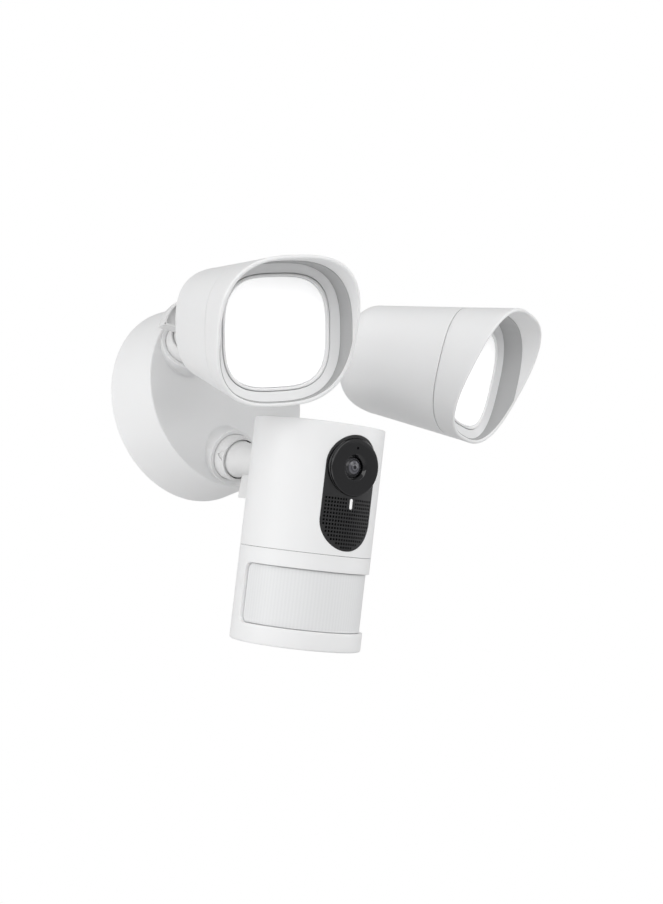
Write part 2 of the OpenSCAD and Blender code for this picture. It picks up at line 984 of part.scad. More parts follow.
module sync_button() {
    color([0.85, 0.85, 0.85])
        at_module()
            translate([0, button_at, 0]) {
                translate([0, 0, -button_travel])
                    cylinder(r = button_r, h = 6);
                translate([0, 0, mod_wall + GAP])
                    cylinder(r = button_r + 1.4, h = 1.2);
            }
}

// Saddle that carries the module on its stem, with a tab for the lock screw
// Seat of the stem behind the camera module
module camera_rear_bracket() {
    near = mod_reach - mod_r;
    color([0.9, 0.9, 0.9])
        difference() {
            at_ball(CAMERA, camera_pose)
                translate([0, 0, near - head_boss_back])
                    cylinder(r = head_boss_r, h = head_boss_back + 2.4);
            at_module()
                translate([0, 0, 10])
                    cylinder(r = mod_r + GAP, h = mod_h);
            at_ball(CAMERA, camera_pose)
                cylinder(r = pin_bore_r, h = mod_reach);
        }
}

base_housing();
back_plate();
wall_bracket();
wall_gasket();
back_plate_screws();
driver_board();
transformer();
capacitors();
terminal_block();
fixing_bolt();
fixing_bolt_cap();
socket_collar(LEFT, 135);  // left_socket_collar
ball_stem(LEFT, left_pose, light_stem, LEFT_WING);  // left_ball_stem
stem_nut(LEFT, left_pose, light_stem);  // left_stem_nut
rear_housing(LEFT, left_pose);  // left_rear_housing
front_hood(LEFT, left_pose);  // left_front_hood
bezel(LEFT, left_pose);  // left_bezel
diffuser_lens(LEFT, left_pose);  // left_diffuser_lens
lens_gasket(LEFT, left_pose);  // left_lens_gasket
led_board(LEFT, left_pose);  // left_led_board
leds(LEFT, left_pose);  // left_leds
heat_sink(LEFT, left_pose);  // left_heat_sink
board_screws(LEFT, left_pose);  // left_board_screws
socket_collar(RIGHT, 45);  // right_socket_collar
ball_stem(RIGHT, right_pose, light_stem, RIGHT_WING);  // right_ball_stem
stem_nut(RIGHT, right_pose, light_stem);  // right_stem_nut
rear_housing(RIGHT, right_pose);  // right_rear_housing
front_hood(RIGHT, right_pose);  // right_front_hood
bezel(RIGHT, right_pose);  // right_bezel
diffuser_lens(RIGHT, right_pose);  // right_diffuser_lens
lens_gasket(RIGHT, right_pose);  // right_lens_gasket
led_board(RIGHT, right_pose);  // right_led_board
leds(RIGHT, right_pose);  // right_leds
heat_sink(RIGHT, right_pose);  // right_heat_sink
board_screws(RIGHT, right_pose);  // right_board_screws
socket_collar(CAMERA, 181);  // camera_socket_collar
ball_stem(CAMERA, camera_pose, camera_stem, CAMERA_WING);  // camera_ball_stem
stem_nut(CAMERA, camera_pose, camera_stem);  // camera_stem_nut
camera_rear_bracket();
upper_housing();
lower_housing();
housing_seal();
housing_screws();
pir_window();
pir_sensors();
pir_board();
face_inlay();
lens_disc();
lens_glass();
lens_barrel();
image_sensor_board();
main_board();
speaker();
status_light();
wifi_antenna();
sync_button();
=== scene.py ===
import json
import math

import bmesh
import bpy
import numpy as np
from mathutils import Matrix, Vector
from mathutils.geometry import delaunay_2d_cdt


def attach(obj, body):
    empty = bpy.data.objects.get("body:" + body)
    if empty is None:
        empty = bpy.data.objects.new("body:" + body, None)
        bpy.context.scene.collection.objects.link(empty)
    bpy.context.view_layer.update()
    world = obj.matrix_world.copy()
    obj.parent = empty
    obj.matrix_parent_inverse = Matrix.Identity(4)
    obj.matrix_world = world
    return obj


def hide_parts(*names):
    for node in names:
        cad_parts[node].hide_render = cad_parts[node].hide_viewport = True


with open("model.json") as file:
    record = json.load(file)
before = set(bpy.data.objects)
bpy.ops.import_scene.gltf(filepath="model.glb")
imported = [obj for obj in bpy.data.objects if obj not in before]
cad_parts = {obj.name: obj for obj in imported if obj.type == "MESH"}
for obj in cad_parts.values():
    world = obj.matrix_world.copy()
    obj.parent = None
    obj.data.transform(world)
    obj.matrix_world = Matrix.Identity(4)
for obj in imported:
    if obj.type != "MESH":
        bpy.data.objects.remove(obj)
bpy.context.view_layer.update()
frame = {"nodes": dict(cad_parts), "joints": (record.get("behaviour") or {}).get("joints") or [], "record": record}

# Lengths below are millimetres in a piece's own local frame. MM turns them into metres.
MM = 0.001
STEPS = 144              # points round a turned piece
OUT_OF_WALL = Vector((0, -1, 0))

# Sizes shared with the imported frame
BALL_H = 4.5             # ball centre above the socket rim
BALL_R = 12.2
NECK_R = 10.0
BOSS_R = 17.2
COLLAR_R = 14.4
MOUTH_R = 11.9
MOUTH_H = 8.3
WING_R = 24.5
WING_Z = 9.0
WING_L = 10.0
WING_HALF_A = 27.0
THROAT_R = 11.2          # stem's radius where it leaves the ball
THROAT_L = 9.0
PIN_R = 5.0
BORE_R = 3.2
BASE_BACK_R = 64.0
BASE_FRONT_R = 61.2
BASE_DEPTH = 38.3
BASE_WALL = 2.6
DOME_RISE = 1.2
BASE_EDGE = 1.2          # rounding of the base's front edge

HEAD_N = 2.76            # superellipse exponent of a head's section
LENS_N = 3.16
HEAD_REAR_HALF = 33.7
HEAD_FRONT_HALF = 39.7
HEAD_ROUND = 19.3
HEAD_PART_Z = 75.9
HOOD_LOW_Z = 87.6
HOOD_HIGH_Z = 111.4
HOOD_WALL = 2.2
SLEEVE_TOP_Z = 97.0      # where the grey sleeve ends inside the hood
HEAD_SEAM = 0.22         # half the gap between a head's two shells
LENS_HALF = 30.4
LENS_FRONT_Z = 83.2
LIGHT_STEM = 49.0        # ball centre to the face that the stem turns on
HEAD_BOSS_R = 12.5
TAPER = (HEAD_FRONT_HALF - HEAD_REAR_HALF) / (HEAD_PART_Z - HEAD_ROUND)

MOD_REACH = 84.9         # camera ball centre to the module's axis
MOD_R = 38.4
MOD_H = 129.6
MOD_PART_H = 54.6
MOD_WALL = 2.4
MOD_EDGE = 0.9           # rounding of the module's top edge
MOD_FOOT = 1.2           # rounding of the module's foot
MOD_SEAM = 0.1           # half the gap between the module's two casings
WINDOW_LOW = 10.9
WINDOW_HIGH = 45.2
WINDOW_HALF_A = 95.0
WINDOW_CORNER = 4.5
INLAY_HALF_W = 17.3
INLAY_LOW = 57.6
INLAY_HIGH = 123.9
INLAY_PROUD = 0.25
GRILLE_COLS, GRILLE_ROWS = 19, 14
GRILLE_PITCH_X, GRILLE_PITCH_Z = 1.7, 2.1
GRILLE_LOW = 59.6
GRILLE_SLOT_W, GRILLE_SLOT_H = 1.0, 1.2
GRILLE_MARGIN = 1.6
GRILLE_DISC_GAP = 2.1
GRILLE_LIGHT_W, GRILLE_LIGHT_L = 2.0, 8.4
CAMERA_LENS_H = 105.5
DISC_R = 16.4
DISC_FRONT = 39.2
DISC_BACK = 32.5
STATUS_R = 0.9
STATUS_L = 6.0
STATUS_TOP = CAMERA_LENS_H - DISC_R - 1.6
FILM_GAP = 0.35          # gap between the motion window and its opening
FILM_DEPTH = 2.0         # how far the window is set back
SHARP_A = math.radians(32)

LIGHT_SIZE = 0.9
MIDDLE = (0.02, -0.1, -0.02)
# name, place, aim, power
LIGHTS = [
    ("key", (-0.75, -1.0, 0.25), MIDDLE, 3.8),
    ("left", (-1.6, 0.1, 0.3), (-0.05, -0.18, 0.05), 5.0),
    ("behind", (-1.2, 0.5, -0.8), MIDDLE, 5.0),
    ("high", (-1.1, 0.2, 1.1), MIDDLE, 2.4),
    ("front", (0.1, -1.7, 0.3), MIDDLE, 5.8),
    ("right", (1.2, -1.0, 0.3), MIDDLE, 3.9),
]


# ---------- frames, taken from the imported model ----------

def points(node):
    """A node's vertices, in millimetres in the row frame."""
    mesh = frame["nodes"][node].data
    flat = np.empty(len(mesh.vertices) * 3)
    mesh.vertices.foreach_get("co", flat)
    return flat.reshape(-1, 3) / MM


def joint(name):
    return next(j for j in frame["joints"] if j["name"] == name)


def placed(origin, z_axis, y_hint):
    """Matrix of a local frame: origin in millimetres, local Z and a hint for local Y."""
    z = Vector(z_axis).normalized()
    x = Vector(y_hint).cross(z).normalized()
    y = z.cross(x)
    m = Matrix((x, y, z)).transposed().to_4x4()
    m.translation = Vector(origin) * MM
    return m


def ball_place(side):
    """Ball centre, with the stem along local Z."""
    roll = joint(side + "_roll")
    return placed(Vector(roll["pos_m"]) / MM, roll["axis"], (0, 0, 1))


def socket_place(side):
    """Centre of the socket's rim, with the socket's axis along local Z."""
    swivel = joint(side + "_swivel")
    axis = Vector(swivel["axis"])
    up = OUT_OF_WALL.rotation_difference(axis) @ Vector((0, 0, 1))
    return placed(Vector(swivel["pos_m"]) / MM - axis * BALL_H, axis, up)


def head_place(side):
    """Rear centre of a light head, facing local Z, with the hood's high side on local Y."""
    lens = points(side + "_diffuser_lens")
    middle = lens.mean(0)
    axis = np.linalg.svd(lens - middle)[2][2]
    hood = points(side + "_front_hood")
    hood_middle = hood.mean(0)
    if axis @ (np.array(joint(side + "_roll")["pos_m"]) / MM - middle) > 0:
        axis = -axis
    along = (hood - hood_middle) @ axis
    up = (along[:, None] * (hood - hood_middle)).sum(0)
    up -= axis * (up @ axis)
    front = (lens @ axis).max()
    origin = middle + axis * (front - LENS_FRONT_Z - middle @ axis)
    return placed(origin, axis, up)


def module_place():
    """Bottom centre of the camera module, upright along local Z and facing local -Y."""
    axis = np.array(joint("sync_button_press")["axis"])
    seal = points("housing_seal")
    centre = (seal.max(0) + seal.min(0)) / 2
    disc = points("lens_disc")
    forward = (disc.max(0) + disc.min(0)) / 2 - centre
    forward -= axis * (forward @ axis)
    bottom = (points("lower_housing") @ axis).min()
    origin = centre + axis * (bottom - centre @ axis)
    return placed(origin, axis, -forward)


def base_place():
    """Base centre on the wall, with local Z out of the wall and local Y up."""
    return placed((0, 0, 0), OUT_OF_WALL, (0, 0, 1))


# ---------- outlines and meshes ----------

def rounded(corners, steps=5):
    """Polyline through (x, y, radius) corners with each corner rounded by its radius."""
    out = []
    for i, (x, y, r) in enumerate(corners):
        here = Vector((x, y))
        if r <= 0 or i in (0, len(corners) - 1):
            out.append((x, y))
            continue
        before = (Vector(corners[i - 1][:2]) - here).normalized()
        after = (Vector(corners[i + 1][:2]) - here).normalized()
        half = before.angle(after) / 2
        reach = r / math.tan(half)
        middle = here + (before + after).normalized() * (r / math.sin(half))
        start = here + before * reach - middle
        sweep = start.angle_signed(here + after * reach - middle)
        for k in range(steps + 1):
            turned = Matrix.Rotation(-sweep * k / steps, 2) @ start
            out.append(tuple(middle + turned))
    return out


def arc(cx, cy, r, start, end, steps):
    """Points on a circle from start to end, in degrees."""
    turns = [math.radians(start + (end - start) * k / steps) for k in range(steps + 1)]
    return [(cx + r * math.cos(t), cy + r * math.sin(t)) for t in turns]


def strip_faces(count, rows, first=0):
    """Quads between consecutive closed rows of count points."""
    out = []
    for k in range(rows - 1):
        a, b = first + k * count, first + (k + 1) * count
        for i in range(count):
            j = (i + 1) % count
            out.append((a + i, a + j, b + j, b + i))
    return out


def revolve(profile, steps=STEPS):
    """Closed solid from a profile of (radius, height), turned about local Z."""
    verts, rows = [], []
    for r, z in profile:
        if r < 1e-6:
            rows.append([len(verts)] * steps)
            verts.append((0, 0, z))
            continue
        rows.append(list(range(len(verts), len(verts) + steps)))
        turns = [2 * math.pi * i / steps for i in range(steps)]
        verts += [(r * math.cos(t), r * math.sin(t), z) for t in turns]
    faces = []
    pairs = list(zip(rows, rows[1:]))
    if profile[0][0] > 1e-6 and profile[-1][0] > 1e-6:
        pairs.append((rows[-1], rows[0]))
    for a, b in pairs:
        for i in range(steps):
            j = (i + 1) % steps
            corners = dict.fromkeys((a[i], a[j], b[j], b[i]))
            if len(corners) > 2:
                faces.append(tuple(corners))
    return verts, faces


def superellipse(n, steps=STEPS):
    """Points of a superellipse of half width 1."""
    out = []
    for i in range(steps):
        t = 2 * math.pi * i / steps
        c, s = math.cos(t), math.sin(t)
        r = (abs(c) ** n + abs(s) ** n) ** (-1 / n)
        out.append((r * c, r * s))
    return out


def head_ring(half, z, n=HEAD_N, lean=0.0):
    """Ring of a head's section. lean is how far it follows the hood's slant, 0 to 1."""
    slant = (HOOD_HIGH_Z - HOOD_LOW_Z) * lean
    ring = []
    for x, y in superellipse(n):
        up = (y + 1) / 2
        wide = half + TAPER * slant * up
        ring.append((wide * x, wide * y, z + slant * up))
    return ring


def loft(rings, closed=False):
    """Solid through rings of equal length: capped at both ends, or joined end to start."""
    count = len(rings[0])
    verts = [p for ring in rings for p in ring]
    faces = strip_faces(count, len(rings))
    if closed:
        last = (len(rings) - 1) * count
        faces += [(last + i, last + (i + 1) % count, (i + 1) % count, i) for i in range(count)]
    else:
        faces.append(tuple(range(count))[::-1])
        faces.append(tuple((len(rings) - 1) * count + i for i in range(count)))
    return verts, faces


def joined(*parts):
    """One vertex and face list from several."""
    verts, faces = [], []
    for v, f in parts:
        faces += [tuple(i + len(verts) for i in face) for face in f]
        verts += list(v)
    return verts, faces


def moved(part, matrix):
    """The part with its vertices carried by a matrix whose translation is in millimetres."""
    verts, faces = part
    return [tuple(matrix @ Vector(v)) for v in verts], faces


def relative(place, inside):
    """Matrix, in millimetres, from one local frame to another."""
    m = inside.inverted() @ place
    m.translation = m.translation / MM
    return m


def new_object(name, part, place, merge):
    """Object made of a part in millimetres, its faces turned outwards."""
    verts, faces = part
    mesh = bpy.data.meshes.new(name)
    mesh.from_pydata([tuple(c * MM for c in v) for v in verts], [], faces)
    work = bmesh.new()
    work.from_mesh(mesh)
    if merge:
        bmesh.ops.remove_doubles(work, verts=work.verts, dist=1e-7)
    bmesh.ops.recalc_face_normals(work, faces=work.faces)
    work.to_mesh(mesh)
    work.free()
    made = bpy.data.objects.new(name, mesh)
    bpy.context.scene.collection.objects.link(made)
    made.matrix_world = place
    return made


def piece(name, part, place, body, slot, replaces, material=None):
    made = new_object(name, part, place, True)
    made.data.shade_smooth()
    made.data.set_sharp_from_angle(angle=SHARP_A)
    made.data.materials.append(MATERIALS[material or slot])
    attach(made, body)
    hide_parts(*replaces)
    return made


def cut(target, part, place):
    """Cuts a solid out of a piece and applies the cut."""
    cutter = new_object("cutter", part, place, False)
    bpy.context.view_layer.update()
    change = target.modifiers.new("cut", "BOOLEAN")
    change.operation = "DIFFERENCE"
    change.solver = "EXACT"
    change.object = cutter
    apply_modifiers(target)
    spent = cutter.data
    bpy.data.objects.remove(cutter)
    bpy.data.meshes.remove(spent)
    target.data.set_sharp_from_angle(angle=SHARP_A)


def apply_modifiers(target):
    bpy.context.view_layer.update()
    shaped = target.evaluated_get(bpy.context.evaluated_depsgraph_get())
    mesh = bpy.data.meshes.new_from_object(shaped)
    target.modifiers.clear()
    target.data = mesh


def fillet_skirt(centre_place, radius, width, solid_at, start, end, steps=STEPS):
    """Concave ring where a round boss meets a surface. solid_at(p) is negative inside the surface."""
    rows = [[] for _ in range(9)]
    for i in range(steps):
        t = 2 * math.pi * i / steps
        c, s = math.cos(t), math.sin(t)

        def meet(r):
            low, high = end, start
            for _ in range(40):
                mid = (low + high) / 2
                if solid_at(centre_place @ Vector((r * c, r * s, mid))) < 0:
                    low = mid
                else:
                    high = mid
            return low

        foot = meet(radius)
        w = max(0.05, min(width, 0.8 * (start - foot)))
        wall = Vector((radius * c, radius * s, foot + w))
        corner = Vector((radius * c, radius * s, foot))
        far_h = meet(radius + w)
        far = Vector(((radius + w) * c, (radius + w) * s, far_h))
        for k in range(8):
            u = k / 7
            rows[k].append(tuple(wall * (1 - u) ** 2 + corner * 2 * u * (1 - u) + far * u * u))
        rows[8].append(((radius - 0.5) * c, (radius - 0.5) * s, foot - 0.8))
    rings = [[tuple(centre_place @ Vector(p)) for p in row] for row in rows]
    return loft(rings, closed=True)


# ---------- materials ----------

def shader(name, colour, roughness):
    """New material with a Principled shader, object coordinates and its node helpers."""
    mat = bpy.data.materials.new(name)
    mat.use_nodes = True
    tree = mat.node_tree
    bsdf = tree.nodes["Principled BSDF"]
    bsdf.inputs["Base Color"].default_value = (*colour, 1)
    bsdf.inputs["Roughness"].default_value = roughness
    coords = tree.nodes.new("ShaderNodeTexCoord")
    return mat, tree, bsdf, coords.outputs["Object"]


def add_node(tree, kind, **sockets):
    """New node with input sockets set by name. An underscore stands for a space."""
    node = tree.nodes.new(kind)
    for name, value in sockets.items():
        node.inputs[name.replace("_", " ")].default_value = value
    return node


def noise(tree, coords, scale, detail=3.0, roughness=0.5):
    node = add_node(tree, "ShaderNodeTexNoise", Scale=scale, Detail=detail, Roughness=roughness)
    tree.links.new(coords, node.inputs["Vector"])
    return node.outputs["Fac"]


def spread(tree, value, low, high):
    """Maps the middle of a noise value, 0.3 to 0.7, onto low to high."""
    node = add_node(tree, "ShaderNodeMapRange", From_Min=0.3, From_Max=0.7, To_Min=low, To_Max=high)
    tree.links.new(value, node.inputs["Value"])
    return node.outputs["Result"]


def blend_colours(tree, value, first, second):
    node = tree.nodes.new("ShaderNodeMix")
    node.data_type = "RGBA"
    node.inputs["A"].default_value = (*first, 1)
    node.inputs["B"].default_value = (*second, 1)
    tree.links.new(value, node.inputs["Factor"])
    return node.outputs["Result"]


def add_bump(tree, bsdf, height, strength, distance, under=None):
    node = add_node(tree, "ShaderNodeBump", Strength=strength, Distance=distance)
    tree.links.new(height, node.inputs["Height"])
    if under is not None:
        tree.links.new(under, node.inputs["Normal"])
    tree.links.new(node.outputs["Normal"], bsdf.inputs["Normal"])
    return node.outputs["Normal"]


def moulded_plastic(name, colour, roughness, grain=0.25, tone=0.015):
    """Injection-moulded plastic: spark-eroded grain, slow waviness and faint tone changes."""
    mat, tree, bsdf, coords = shader(name, colour, roughness)
    drift = noise(tree, coords, 14, 2)
    darker = tuple(max(0, c - tone) for c in colour)
    tree.links.new(blend_colours(tree, drift, darker, colour), bsdf.inputs["Base Color"])
    patches = noise(tree, coords, 220, 4)
    tree.links.new(spread(tree, patches, roughness - 0.04, roughness + 0.05), bsdf.inputs["Roughness"])
    waves = add_bump(tree, bsdf, noise(tree, coords, 30, 1), 0.04, 0.0004)
    add_bump(tree, bsdf, noise(tree, coords, 2600, 2, 0.6), grain, 0.00003, waves)
    bsdf.inputs["Specular IOR Level"].default_value = 0.42
    return mat


def white_plastic():
    mat = moulded_plastic("white_plastic", (0.81, 0.812, 0.815), 0.42)
    bsdf = mat.node_tree.nodes["Principled BSDF"]
    bsdf.inputs["Subsurface Weight"].default_value = 0.08
    bsdf.inputs["Subsurface Radius"].default_value = (0.0015, 0.0013, 0.0012)
    bsdf.inputs["Subsurface Scale"].default_value = 1.0
    return mat


def opal_lens():
    """Frosted opal diffuser with a fine prism pattern behind its face, and a faint patchy glow of painted light.
    """
    mat, tree, bsdf, coords = shader("opal_lens", (0.97, 0.97, 0.975), 0.35)
    cells = add_node(tree, "ShaderNodeTexVoronoi", Scale=900)
    tree.links.new(coords, cells.inputs["Vector"])
    waves = add_bump(tree, bsdf, noise(tree, coords, 40, 1), 0.03, 0.0003)
    add_bump(tree, bsdf, cells.outputs["Distance"], 0.06, 0.00005, waves)
    # Painted light: a faint white glow, its strength patchy by noise.
    painted_glow = spread(tree, noise(tree, coords, 25, 1), 0.3, 0.36)
    tree.links.new(painted_glow, bsdf.inputs["Emission Strength"])
    bsdf.inputs["Emission Color"].default_value = (1, 1, 1, 1)
    return mat


def pir_film():
    """Motion window: milky film whose fine upright ridges show as faint stripes."""
    mat, tree, bsdf, coords = shader("pir_film", (0.74, 0.745, 0.755), 0.38)
    split = tree.nodes.new("ShaderNodeSeparateXYZ")
    tree.links.new(coords, split.inputs["Vector"])
    turn = tree.nodes.new("ShaderNodeMath")
    turn.operation = "ARCTAN2"
    tree.links.new(split.outputs["X"], turn.inputs[0])
    tree.links.new(split.outputs["Y"], turn.inputs[1])
    ridges = tree.nodes.new("ShaderNodeMath")
    ridges.operation = "MULTIPLY"
    ridges.inputs[1].default_value = 110
    tree.links.new(turn.outputs[0], ridges.inputs[0])
    wave = tree.nodes.new("ShaderNodeMath")
    wave.operation = "SINE"
    tree.links.new(ridges.outputs[0], wave.inputs[0])
    half = add_node(tree, "ShaderNodeMapRange", From_Min=-1)
    tree.links.new(wave.outputs[0], half.inputs["Value"])
    stripes = blend_colours(tree, half.outputs["Result"], (0.725, 0.73, 0.735), (0.75, 0.755, 0.76))
    tree.links.new(stripes, bsdf.inputs["Base Color"])
    waves = add_bump(tree, bsdf, half.outputs["Result"], 0.1, 0.0001)
    add_bump(tree, bsdf, noise(tree, coords, 1500, 2), 0.1, 0.00003, waves)
    return mat


def black_gloss():
    """Polished black acrylic with a faint haze and polishing marks."""
    mat, tree, bsdf, coords = shader("black_gloss", (0.007, 0.007, 0.008), 0.08)
    tree.links.new(spread(tree, noise(tree, coords, 180, 4), 0.06, 0.13), bsdf.inputs["Roughness"])
    add_bump(tree, bsdf, noise(tree, coords, 35, 1), 0.02, 0.0002)
    bsdf.inputs["Specular IOR Level"].default_value = 0.4
    bsdf.inputs["Coat Weight"].default_value = 0.25
    bsdf.inputs["Coat Roughness"].default_value = 0.04
    return mat


def coated_glass():
    """Small lens: its barrel's rings are painted into its colour, the lighter rings as painted reflections, tinted
    by the coating.
    """
    mat, tree, bsdf, coords = shader("coated_glass", (0.02, 0.02, 0.03), 0.16)
    from_axis = tree.nodes.new("ShaderNodeVectorMath")
    from_axis.operation = "MULTIPLY_ADD"
    from_axis.inputs[1].default_value = (1, 0, 1)
    from_axis.inputs[2].default_value = (0, 0, -CAMERA_LENS_H * MM)
    tree.links.new(coords, from_axis.inputs[0])
    radius = tree.nodes.new("ShaderNodeVectorMath")
    radius.operation = "LENGTH"
    tree.links.new(from_axis.outputs["Vector"], radius.inputs[0])
    across = add_node(tree, "ShaderNodeMapRange", From_Max=5.6 * MM)
    tree.links.new(radius.outputs["Value"], across.inputs["Value"])
    # Rings by distance from the lens axis: the dark rings are the barrel's own, the lighter rings are painted
    # reflections.
    rings = tree.nodes.new("ShaderNodeValToRGB")
    for place, grey in ((0.16, 0.01), (0.26, 0.16), (0.36, 0.03), (0.6, 0.12), (0.72, 0.015)):
        stop = rings.color_ramp.elements.new(place)
        stop.color = (grey, grey, grey * 1.15, 1)
    rings.color_ramp.elements[0].color = (0.01, 0.01, 0.012, 1)
    rings.color_ramp.elements[-1].color = (0.07, 0.07, 0.075, 1)
    tree.links.new(across.outputs["Result"], rings.inputs["Fac"])
    tree.links.new(rings.outputs["Color"], bsdf.inputs["Base Color"])
    add_bump(tree, bsdf, noise(tree, coords, 120, 1), 0.02, 0.0001)
    bsdf.inputs["Specular IOR Level"].default_value = 0.45
    return mat


def metal(name, colour, roughness, streaks=600):
    """Plated or extruded metal with fine streaks along local Z."""
    mat, tree, bsdf, coords = shader(name, colour, roughness)
    bsdf.inputs["Metallic"].default_value = 1.0
    squash = add_node(tree, "ShaderNodeMapping", Scale=(1, 1, 0.08))
    tree.links.new(coords, squash.inputs["Vector"])
    lines = noise(tree, squash.outputs["Vector"], streaks, 3)
    tree.links.new(spread(tree, lines, roughness - 0.08, roughness + 0.1), bsdf.inputs["Roughness"])
    dull = tuple(c * 0.85 for c in colour)
    tree.links.new(blend_colours(tree, lines, dull, colour), bsdf.inputs["Base Color"])
    add_bump(tree, bsdf, lines, 0.1, 0.00005)
    return mat


def circuit_board(name, mask, track):
    """Solder mask with the faint relief of tracks."""
    mat, tree, bsdf, coords = shader(name, mask, 0.35)
    cells = add_node(tree, "ShaderNodeTexVoronoi", Scale=350)
    cells.distance = "MANHATTAN"
    tree.links.new(coords, cells.inputs["Vector"])
    edge = spread(tree, cells.outputs["Distance"], 0, 1)
    tree.links.new(blend_colours(tree, edge, mask, track), bsdf.inputs["Base Color"])
    add_bump(tree, bsdf, edge, 0.15, 0.00003)
    return mat


MATERIALS = {
    "white_plastic": white_plastic(),
    "joint_plastic": moulded_plastic("joint_plastic", (0.76, 0.76, 0.76), 0.38),
    "bezel_plastic": moulded_plastic("bezel_plastic", (0.78, 0.783, 0.787), 0.45),
    # Sleeve grey: partly the liner's own grey, partly painted shade that sets it darker than the funnel.
    "sleeve_grey_and_painted_shade": moulded_plastic("sleeve_grey_and_painted_shade", (0.44, 0.442, 0.445), 0.6),
    "diffuser": opal_lens(),
    "pir_film": pir_film(),
    "black_plastic": moulded_plastic("black_plastic", (0.011, 0.011, 0.012), 0.44, 0.35, 0.004),
    "black_gloss": black_gloss(),
    "lens_glass": coated_glass(),
    "light_pipe": moulded_plastic("light_pipe", (0.95, 0.95, 0.95), 0.2, 0.05),
    "steel": metal("steel", (0.62, 0.62, 0.63), 0.32),
    "aluminium": metal("aluminium", (0.78, 0.78, 0.8), 0.4, 300),
    "rubber": moulded_plastic("rubber", (0.05, 0.05, 0.052), 0.8, 0.5, 0.01),
    "circuit_board": circuit_board("circuit_board", (0.02, 0.12, 0.05), (0.05, 0.22, 0.09)),
    "led_board": circuit_board("led_board", (0.85, 0.85, 0.82), (0.75, 0.75, 0.7)),
    "led": moulded_plastic("led", (0.9, 0.75, 0.2), 0.3, 0.1),
    "grey_plastic": moulded_plastic("grey_plastic", (0.5, 0.5, 0.5), 0.5),
    "component": moulded_plastic("component", (0.35, 0.26, 0.08), 0.5),
}


def dress_cad_nodes():
    """Gives every CAD node the material of its slot."""
    for entry in frame["record"]["subparts"]:
        node = frame["nodes"][entry["node"]]
        node.data.materials.clear()
        node.data.materials.append(MATERIALS[entry["material_slot"]])


# ---------- base ----------

def base_height(r):
    """Height of the base's outer skin above the wall at radius r."""
    flat_r = BASE_FRONT_R - BASE_EDGE
    dome_r = (flat_r ** 2 + DOME_RISE ** 2) / (2 * DOME_RISE)
    if r <= flat_r:
        return BASE_DEPTH + math.sqrt(dome_r ** 2 - r * r) - dome_r + DOME_RISE
    if r < BASE_FRONT_R:
        return BASE_DEPTH - BASE_EDGE + math.sqrt(max(0, BASE_EDGE ** 2 - (r - flat_r) ** 2))
    return 0.0


def base_shell():
    flat_r = BASE_FRONT_R - BASE_EDGE
    face = [(flat_r * k / 14, base_height(flat_r * k / 14)) for k in range(15)]
    edge = arc(flat_r, BASE_DEPTH - BASE_EDGE, BASE_EDGE, 90, 0, 8)[1:]
    edge_z = BASE_DEPTH - BASE_EDGE
    side = [(BASE_FRONT_R + (BASE_BACK_R - BASE_FRONT_R) * k / 8, edge_z * (1 - k / 8))
            for k in range(1, 8)]
    foot = [(BASE_BACK_R - 0.05, 0.6), (BASE_BACK_R - 0.35, 0.05), (BASE_BACK_R - BASE_WALL, 0)]
    inside = [(BASE_FRONT_R - BASE_WALL - 0.5, BASE_DEPTH - 6), (BASE_FRONT_R - 8, BASE_DEPTH - BASE_WALL),
              (0, BASE_DEPTH - BASE_WALL)]
    return revolve(face + edge + side + foot + inside, 240)


def socket_boss():
    """Raised ring that carries a lock ring, with a soft outer edge."""
    bore = COLLAR_R + 0.15
    profile = rounded([(bore, -14, 0), (bore, 0, 0.35), (BOSS_R, 0, 0.6), (BOSS_R, -14, 0)], 6)
    return revolve(profile)


def build_base():
    home = base_place()
    parts = [base_shell()]
    for side in ("left", "right", "camera"):
        seat = relative(socket_place(side), home)
        parts.append(moved(socket_boss(), seat))

        def solid_at(p):
            return p.z - base_height(math.hypot(p.x, p.y))

        parts.append(fillet_skirt(seat, BOSS_R, 1.2, solid_at, -0.6, -15))
    piece("wall_base_shell", joined(*parts), home, "wall_base", "white_plastic",
          ["base_housing"])


# ---------- ball joints ----------

def build_collar(side, pocket_a):
    """Lock ring: conical, with a thin mouth rim and a three-sided wrench pocket."""
    low, mouth_r = -6.0, MOUTH_R + 0.55
    seat = [(mouth_r + 0.75 * (1 - u ** 2), low + (MOUTH_H - low) * u) for u in np.linspace(0, 1, 12)]
    outer = rounded([(seat[0][0], -8, 0), (COLLAR_R, -8, 0.5), (COLLAR_R, 2.5, 0.7),
                     (MOUTH_R + 1.7, MOUTH_H, 0.3), (mouth_r, MOUTH_H, 0)], 5)
    place = socket_place(side)
    ring = piece(side + "_lock_ring", revolve(outer[:-1] + seat[::-1]), place, side + "_collar",
                 "joint_plastic", [side + "_socket_collar"])
    outline = [(-3.6, 7.5), (3.6, 7.5), (0, 2.4)]
    floor = [(MOUTH_R + 0.95 + 0.12 * (7.5 - z), y, z) for y, z in outline]
    rings = [floor, [(MOUTH_R + 6, y, z) for y, z in outline]]
    cut(ring, loft(rings), place @ Matrix.Rotation(math.radians(pocket_a), 4, "Z"))
    soften(ring, 0.25, 40)


def soften(target, width, angle):
    """Bevels a piece's sharp edges and keeps its flats flat."""
    change = target.modifiers.new("soften", "BEVEL")
    change.width = width * MM
    change.segments = 2
    change.limit_method = "ANGLE"
    change.angle_limit = math.radians(angle)
    change.harden_normals = True
    apply_modifiers(target)


